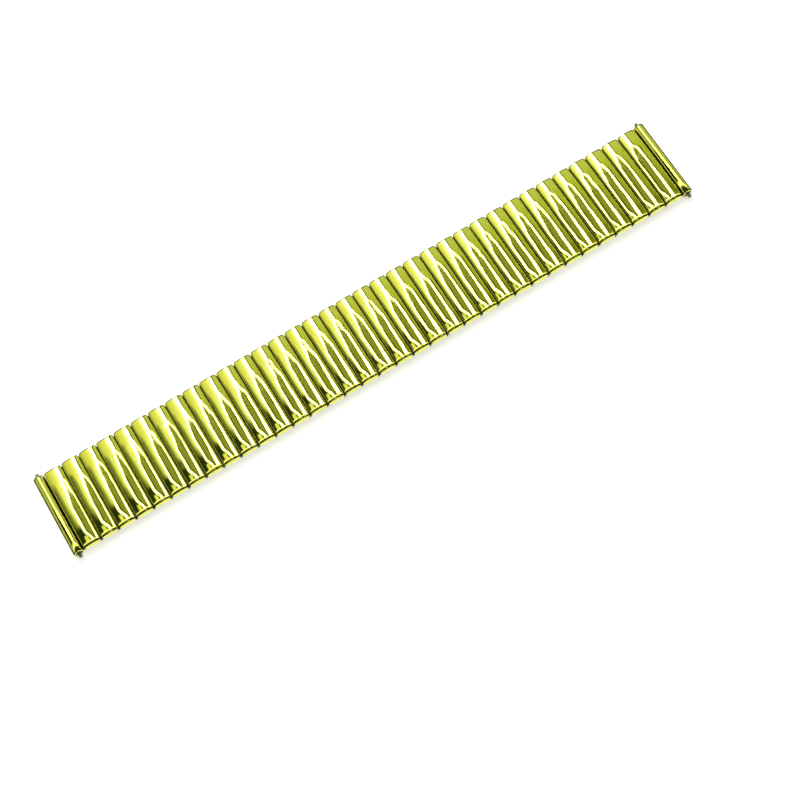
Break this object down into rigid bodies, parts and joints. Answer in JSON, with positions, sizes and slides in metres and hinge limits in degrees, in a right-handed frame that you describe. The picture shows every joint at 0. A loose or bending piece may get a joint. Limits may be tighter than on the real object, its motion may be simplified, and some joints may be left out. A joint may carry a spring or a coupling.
{
  "type": "expansion watch band",
  "caption": "Stretching watch band of polished gold-tone links over a staggered lower row, with clips, leaf springs and sprung pins at both end tubes.",
  "frame": {"origin": "under the middle of the closed band, in the plane that it lies on", "axes": "+X along the band, +Y across it, +Z out of the polished face"},
  "size_m": [0.1392, 0.0198, 0.0025],
  "materials": {
    "gold_tone_link": "mirror-polished gold tone over steel",
    "plain_steel": "plain drawn strip",
    "bar_steel": "turned",
    "spring_steel": "drawn wire"
  },
  "bodies": {
    "link_01": {"link_01": "gold_tone_link"},
    "link_02": {"link_02": "gold_tone_link"},
    "link_03": {"link_03": "gold_tone_link"},
    "link_04": {"link_04": "gold_tone_link"},
    "link_05": {"link_05": "gold_tone_link"},
    "link_06": {"link_06": "gold_tone_link"},
    "link_07": {"link_07": "gold_tone_link"},
    "link_08": {"link_08": "gold_tone_link"},
    "link_09": {"link_09": "gold_tone_link"},
    "link_10": {"link_10": "gold_tone_link"},
    "link_11": {"link_11": "gold_tone_link"},
    "link_12": {"link_12": "gold_tone_link"},
    "link_13": {"link_13": "gold_tone_link"},
    "link_14": {"link_14": "gold_tone_link"},
    "link_15": {"link_15": "gold_tone_link"},
    "link_16": {"link_16": "gold_tone_link"},
    "link_17": {"link_17": "gold_tone_link"},
    "link_18": {"link_18": "gold_tone_link"},
    "link_19": {"link_19": "gold_tone_link"},
    "link_20": {"link_20": "gold_tone_link"},
    "link_21": {"link_21": "gold_tone_link"},
    "link_22": {"link_22": "gold_tone_link"},
    "link_23": {"link_23": "gold_tone_link"},
    "link_24": {"link_24": "gold_tone_link"},
    "link_25": {"link_25": "gold_tone_link"},
    "link_26": {"link_26": "gold_tone_link"},
    "link_27": {"link_27": "gold_tone_link"},
    "link_28": {"link_28": "gold_tone_link"},
    "link_29": {"link_29": "gold_tone_link"},
    "link_30": {"link_30": "gold_tone_link"},
    "link_31": {"link_31": "gold_tone_link"},
    "link_32": {"link_32": "gold_tone_link"},
    "link_33": {"link_33": "gold_tone_link"},
    "link_34": {"link_34": "gold_tone_link"},
    "link_35": {"link_35": "gold_tone_link"},
    "lower_sleeve_02": {"lower_sleeve_02": "plain_steel"},
    "lower_sleeve_04": {"lower_sleeve_04": "plain_steel"},
    "lower_sleeve_06": {"lower_sleeve_06": "plain_steel"},
    "lower_sleeve_08": {"lower_sleeve_08": "plain_steel"},
    "lower_sleeve_11": {"lower_sleeve_11": "plain_steel"},
    "lower_sleeve_13": {"lower_sleeve_13": "plain_steel"},
    "lower_sleeve_15": {"lower_sleeve_15": "plain_steel"},
    "lower_sleeve_18": {"lower_sleeve_18": "plain_steel"},
    "lower_sleeve_20": {"lower_sleeve_20": "plain_steel"},
    "lower_sleeve_22": {"lower_sleeve_22": "plain_steel"},
    "lower_sleeve_24": {"lower_sleeve_24": "plain_steel"},
    "lower_sleeve_27": {"lower_sleeve_27": "plain_steel"},
    "lower_sleeve_29": {"lower_sleeve_29": "plain_steel"},
    "lower_sleeve_31": {"lower_sleeve_31": "plain_steel"},
    "lower_sleeve_33": {"lower_sleeve_33": "plain_steel"},
    "end_piece_left": {"end_piece_left": "gold_tone_link"},
    "spring_bar_left": {"spring_bar_barrel_left": "bar_steel", "spring_bar_coil_left": "spring_steel"},
    "spring_bar_pin_left_near": {"spring_bar_pin_left_near": "bar_steel"},
    "spring_bar_pin_left_far": {"spring_bar_pin_left_far": "bar_steel"},
    "end_piece_right": {"end_piece_right": "gold_tone_link"},
    "spring_bar_right": {"spring_bar_barrel_right": "bar_steel", "spring_bar_coil_right": "spring_steel"},
    "spring_bar_pin_right_near": {"spring_bar_pin_right_near": "bar_steel"},
    "spring_bar_pin_right_far": {"spring_bar_pin_right_far": "bar_steel"}
  },
  "joints": [
    {"name": "flex_gap_18", "type": "hinge", "parent": "link_18", "child": "lower_sleeve_18", "pos_m": [0.00075, 0, 0.0005], "axis": [0, 1, 0], "range_deg": [0, 16], "stiffness_Nm_per_rad": 0.03},
    {"name": "stretch_gap_18", "type": "slide", "parent": "lower_sleeve_18", "child": "link_19", "axis": [1, 0, 0], "range_m": [0, 0.0014], "stiffness_N_per_m": 2500},
    {"name": "stretch_gap_19", "type": "slide", "parent": "link_19", "child": "link_20", "axis": [1, 0, 0], "range_m": [0, 0.0014], "stiffness_N_per_m": 2500},
    {"name": "flex_gap_20", "type": "hinge", "parent": "link_20", "child": "lower_sleeve_20", "pos_m": [0.00845, 0, 0.0005], "axis": [0, 1, 0], "range_deg": [0, 16], "stiffness_Nm_per_rad": 0.03},
    {"name": "stretch_gap_20", "type": "slide", "parent": "lower_sleeve_20", "child": "link_21", "axis": [1, 0, 0], "range_m": [0, 0.0014], "stiffness_N_per_m": 2500},
    {"name": "stretch_gap_21", "type": "slide", "parent": "link_21", "child": "link_22", "axis": [1, 0, 0], "range_m": [0, 0.0014], "stiffness_N_per_m": 2500},
    {"name": "flex_gap_22", "type": "hinge", "parent": "link_22", "child": "lower_sleeve_22", "pos_m": [0.01615, 0, 0.0005], "axis": [0, 1, 0], "range_deg": [0, 16], "stiffness_Nm_per_rad": 0.03},
    {"name": "stretch_gap_22", "type": "slide", "parent": "lower_sleeve_22", "child": "link_23", "axis": [1, 0, 0], "range_m": [0, 0.0014], "stiffness_N_per_m": 2500},
    {"name": "stretch_gap_23", "type": "slide", "parent": "link_23", "child": "link_24", "axis": [1, 0, 0], "range_m": [0, 0.0014], "stiffness_N_per_m": 2500},
    {"name": "flex_gap_24", "type": "hinge", "parent": "link_24", "child": "lower_sleeve_24", "pos_m": [0.02385, 0, 0.0005], "axis": [0, 1, 0], "range_deg": [0, 16], "stiffness_Nm_per_rad": 0.03},
    {"name": "stretch_gap_24", "type": "slide", "parent": "lower_sleeve_24", "child": "link_25", "axis": [1, 0, 0], "range_m": [0, 0.0014], "stiffness_N_per_m": 2500},
    {"name": "stretch_gap_25", "type": "slide", "parent": "link_25", "child": "link_26", "axis": [1, 0, 0], "range_m": [0, 0.0014], "stiffness_N_per_m": 2500},
    {"name": "stretch_gap_26", "type": "slide", "parent": "link_26", "child": "link_27", "axis": [1, 0, 0], "range_m": [0, 0.0014], "stiffness_N_per_m": 2500},
    {"name": "flex_gap_27", "type": "hinge", "parent": "link_27", "child": "lower_sleeve_27", "pos_m": [0.0354, 0, 0.0005], "axis": [0, 1, 0], "range_deg": [0, 16], "stiffness_Nm_per_rad": 0.03},
    {"name": "stretch_gap_27", "type": "slide", "parent": "lower_sleeve_27", "child": "link_28", "axis": [1, 0, 0], "range_m": [0, 0.0014], "stiffness_N_per_m": 2500},
    {"name": "stretch_gap_28", "type": "slide", "parent": "link_28", "child": "link_29", "axis": [1, 0, 0], "range_m": [0, 0.0014], "stiffness_N_per_m": 2500},
    {"name": "flex_gap_29", "type": "hinge", "parent": "link_29", "child": "lower_sleeve_29", "pos_m": [0.0431, 0, 0.0005], "axis": [0, 1, 0], "range_deg": [0, 16], "stiffness_Nm_per_rad": 0.03},
    {"name": "stretch_gap_29", "type": "slide", "parent": "lower_sleeve_29", "child": "link_30", "axis": [1, 0, 0], "range_m": [0, 0.0014], "stiffness_N_per_m": 2500},
    {"name": "stretch_gap_30", "type": "slide", "parent": "link_30", "child": "link_31", "axis": [1, 0, 0], "range_m": [0, 0.0014], "stiffness_N_per_m": 2500},
    {"name": "flex_gap_31", "type": "hinge", "parent": "link_31", "child": "lower_sleeve_31", "pos_m": [0.0508, 0, 0.0005], "axis": [0, 1, 0], "range_deg": [0, 16], "stiffness_Nm_per_rad": 0.03},
    {"name": "stretch_gap_31", "type": "slide", "parent": "lower_sleeve_31", "child": "link_32", "axis": [1, 0, 0], "range_m": [0, 0.0014], "stiffness_N_per_m": 2500},
    {"name": "stretch_gap_32", "type": "slide", "parent": "link_32", "child": "link_33", "axis": [1, 0, 0], "range_m": [0, 0.0014], "stiffness_N_per_m": 2500},
    {"name": "flex_gap_33", "type": "hinge", "parent": "link_33", "child": "lower_sleeve_33", "pos_m": [0.0585, 0, 0.0005], "axis": [0, 1, 0], "range_deg": [0, 16], "stiffness_Nm_per_rad": 0.03},
    {"name": "stretch_gap_33", "type": "slide", "parent": "lower_sleeve_33", "child": "link_34", "axis": [1, 0, 0], "range_m": [0, 0.0014], "stiffness_N_per_m": 2500},
    {"name": "stretch_gap_34", "type": "slide", "parent": "link_34", "child": "link_35", "axis": [1, 0, 0], "range_m": [0, 0.0014], "stiffness_N_per_m": 2500},
    {"name": "stretch_gap_17", "type": "slide", "parent": "link_18", "child": "link_17", "axis": [-1, 0, 0], "range_m": [0, 0.0014], "stiffness_N_per_m": 2500},
    {"name": "stretch_gap_16", "type": "slide", "parent": "link_17", "child": "link_16", "axis": [-1, 0, 0], "range_m": [0, 0.0014], "stiffness_N_per_m": 2500},
    {"name": "stretch_gap_15", "type": "slide", "parent": "link_16", "child": "lower_sleeve_15", "axis": [-1, 0, 0], "range_m": [0, 0.0014], "stiffness_N_per_m": 2500},
    {"name": "flex_gap_15", "type": "hinge", "parent": "lower_sleeve_15", "child": "link_15", "pos_m": [-0.0108, 0, 0.0005], "axis": [0, -1, 0], "range_deg": [0, 16], "stiffness_Nm_per_rad": 0.03},
    {"name": "stretch_gap_14", "type": "slide", "parent": "link_15", "child": "link_14", "axis": [-1, 0, 0], "range_m": [0, 0.0014], "stiffness_N_per_m": 2500},
    {"name": "stretch_gap_13", "type": "slide", "parent": "link_14", "child": "lower_sleeve_13", "axis": [-1, 0, 0], "range_m": [0, 0.0014], "stiffness_N_per_m": 2500},
    {"name": "flex_gap_13", "type": "hinge", "parent": "lower_sleeve_13", "child": "link_13", "pos_m": [-0.0185, 0, 0.0005], "axis": [0, -1, 0], "range_deg": [0, 16], "stiffness_Nm_per_rad": 0.03},
    {"name": "stretch_gap_12", "type": "slide", "parent": "link_13", "child": "link_12", "axis": [-1, 0, 0], "range_m": [0, 0.0014], "stiffness_N_per_m": 2500},
    {"name": "stretch_gap_11", "type": "slide", "parent": "link_12", "child": "lower_sleeve_11", "axis": [-1, 0, 0], "range_m": [0, 0.0014], "stiffness_N_per_m": 2500},
    {"name": "flex_gap_11", "type": "hinge", "parent": "lower_sleeve_11", "child": "link_11", "pos_m": [-0.0262, 0, 0.0005], "axis": [0, -1, 0], "range_deg": [0, 16], "stiffness_Nm_per_rad": 0.03},
    {"name": "stretch_gap_10", "type": "slide", "parent": "link_11", "child": "link_10", "axis": [-1, 0, 0], "range_m": [0, 0.0014], "stiffness_N_per_m": 2500},
    {"name": "stretch_gap_09", "type": "slide", "parent": "link_10", "child": "link_09", "axis": [-1, 0, 0], "range_m": [0, 0.0014], "stiffness_N_per_m": 2500},
    {"name": "stretch_gap_08", "type": "slide", "parent": "link_09", "child": "lower_sleeve_08", "axis": [-1, 0, 0], "range_m": [0, 0.0014], "stiffness_N_per_m": 2500},
    {"name": "flex_gap_08", "type": "hinge", "parent": "lower_sleeve_08", "child": "link_08", "pos_m": [-0.03775, 0, 0.0005], "axis": [0, -1, 0], "range_deg": [0, 16], "stiffness_Nm_per_rad": 0.03},
    {"name": "stretch_gap_07", "type": "slide", "parent": "link_08", "child": "link_07", "axis": [-1, 0, 0], "range_m": [0, 0.0014], "stiffness_N_per_m": 2500},
    {"name": "stretch_gap_06", "type": "slide", "parent": "link_07", "child": "lower_sleeve_06", "axis": [-1, 0, 0], "range_m": [0, 0.0014], "stiffness_N_per_m": 2500},
    {"name": "flex_gap_06", "type": "hinge", "parent": "lower_sleeve_06", "child": "link_06", "pos_m": [-0.04545, 0, 0.0005], "axis": [0, -1, 0], "range_deg": [0, 16], "stiffness_Nm_per_rad": 0.03},
    {"name": "stretch_gap_05", "type": "slide", "parent": "link_06", "child": "link_05", "axis": [-1, 0, 0], "range_m": [0, 0.0014], "stiffness_N_per_m": 2500},
    {"name": "stretch_gap_04", "type": "slide", "parent": "link_05", "child": "lower_sleeve_04", "axis": [-1, 0, 0], "range_m": [0, 0.0014], "stiffness_N_per_m": 2500},
    {"name": "flex_gap_04", "type": "hinge", "parent": "lower_sleeve_04", "child": "link_04", "pos_m": [-0.05315, 0, 0.0005], "axis": [0, -1, 0], "range_deg": [0, 16], "stiffness_Nm_per_rad": 0.03},
    {"name": "stretch_gap_03", "type": "slide", "parent": "link_04", "child": "link_03", "axis": [-1, 0, 0], "range_m": [0, 0.0014], "stiffness_N_per_m": 2500},
    {"name": "stretch_gap_02", "type": "slide", "parent": "link_03", "child": "lower_sleeve_02", "axis": [-1, 0, 0], "range_m": [0, 0.0014], "stiffness_N_per_m": 2500},
    {"name": "flex_gap_02", "type": "hinge", "parent": "lower_sleeve_02", "child": "link_02", "pos_m": [-0.06085, 0, 0.0005], "axis": [0, -1, 0], "range_deg": [0, 16], "stiffness_Nm_per_rad": 0.03},
    {"name": "stretch_gap_01", "type": "slide", "parent": "link_02", "child": "link_01", "axis": [-1, 0, 0], "range_m": [0, 0.0014], "stiffness_N_per_m": 2500},
    {"name": "stretch_end_left", "type": "slide", "parent": "link_01", "child": "end_piece_left", "axis": [-1, 0, 0], "range_m": [0, 0.0007], "stiffness_N_per_m": 2500},
    {"name": "spring_bar_turn_left", "type": "hinge", "parent": "end_piece_left", "child": "spring_bar_left", "pos_m": [-0.06853, 0, 0.00126], "axis": [0, 1, 0], "continuous": true},
    {"name": "pin_press_left_near", "type": "slide", "parent": "spring_bar_left", "child": "spring_bar_pin_left_near", "axis": [0, 1, 0], "range_m": [0, 0.00085], "stiffness_N_per_m": 1500, "deforming": ["spring_bar_coil_left"]},
    {"name": "pin_press_left_far", "type": "slide", "parent": "spring_bar_left", "child": "spring_bar_pin_left_far", "axis": [0, -1, 0], "range_m": [0, 0.00085], "stiffness_N_per_m": 1500},
    {"name": "stretch_end_right", "type": "slide", "parent": "link_35", "child": "end_piece_right", "axis": [1, 0, 0], "range_m": [0, 0.0007], "stiffness_N_per_m": 2500},
    {"name": "spring_bar_turn_right", "type": "hinge", "parent": "end_piece_right", "child": "spring_bar_right", "pos_m": [0.06853, 0, 0.00126], "axis": [0, 1, 0], "continuous": true},
    {"name": "pin_press_right_near", "type": "slide", "parent": "spring_bar_right", "child": "spring_bar_pin_right_near", "axis": [0, 1, 0], "range_m": [0, 0.00085], "stiffness_N_per_m": 1500, "deforming": ["spring_bar_coil_right"]},
    {"name": "pin_press_right_far", "type": "slide", "parent": "spring_bar_right", "child": "spring_bar_pin_right_far", "axis": [0, -1, 0], "range_m": [0, 0.00085], "stiffness_N_per_m": 1500}
  ],
  "couplings": [
    {"joint": "stretch_gap_18", "follows": "stretch_gap_17", "ratio": 1},
    {"joint": "stretch_gap_19", "follows": "stretch_gap_17", "ratio": 1},
    {"joint": "stretch_gap_20", "follows": "stretch_gap_17", "ratio": 1},
    {"joint": "stretch_gap_21", "follows": "stretch_gap_17", "ratio": 1},
    {"joint": "stretch_gap_22", "follows": "stretch_gap_17", "ratio": 1},
    {"joint": "stretch_gap_23", "follows": "stretch_gap_17", "ratio": 1},
    {"joint": "stretch_gap_24", "follows": "stretch_gap_17", "ratio": 1},
    {"joint": "stretch_gap_25", "follows": "stretch_gap_17", "ratio": 1},
    {"joint": "stretch_gap_26", "follows": "stretch_gap_17", "ratio": 1},
    {"joint": "stretch_gap_27", "follows": "stretch_gap_17", "ratio": 1},
    {"joint": "stretch_gap_28", "follows": "stretch_gap_17", "ratio": 1},
    {"joint": "stretch_gap_29", "follows": "stretch_gap_17", "ratio": 1},
    {"joint": "stretch_gap_30", "follows": "stretch_gap_17", "ratio": 1},
    {"joint": "stretch_gap_31", "follows": "stretch_gap_17", "ratio": 1},
    {"joint": "stretch_gap_32", "follows": "stretch_gap_17", "ratio": 1},
    {"joint": "stretch_gap_33", "follows": "stretch_gap_17", "ratio": 1},
    {"joint": "stretch_gap_34", "follows": "stretch_gap_17", "ratio": 1},
    {"joint": "stretch_gap_16", "follows": "stretch_gap_17", "ratio": 1},
    {"joint": "stretch_gap_15", "follows": "stretch_gap_17", "ratio": 1},
    {"joint": "stretch_gap_14", "follows": "stretch_gap_17", "ratio": 1},
    {"joint": "stretch_gap_13", "follows": "stretch_gap_17", "ratio": 1},
    {"joint": "stretch_gap_12", "follows": "stretch_gap_17", "ratio": 1},
    {"joint": "stretch_gap_11", "follows": "stretch_gap_17", "ratio": 1},
    {"joint": "stretch_gap_10", "follows": "stretch_gap_17", "ratio": 1},
    {"joint": "stretch_gap_09", "follows": "stretch_gap_17", "ratio": 1},
    {"joint": "stretch_gap_08", "follows": "stretch_gap_17", "ratio": 1},
    {"joint": "stretch_gap_07", "follows": "stretch_gap_17", "ratio": 1},
    {"joint": "stretch_gap_06", "follows": "stretch_gap_17", "ratio": 1},
    {"joint": "stretch_gap_05", "follows": "stretch_gap_17", "ratio": 1},
    {"joint": "stretch_gap_04", "follows": "stretch_gap_17", "ratio": 1},
    {"joint": "stretch_gap_03", "follows": "stretch_gap_17", "ratio": 1},
    {"joint": "stretch_gap_02", "follows": "stretch_gap_17", "ratio": 1},
    {"joint": "stretch_gap_01", "follows": "stretch_gap_17", "ratio": 1},
    {"joint": "stretch_end_left", "follows": "stretch_gap_17", "ratio": 0.5},
    {"joint": "stretch_end_right", "follows": "stretch_gap_17", "ratio": 0.5}
  ]
}
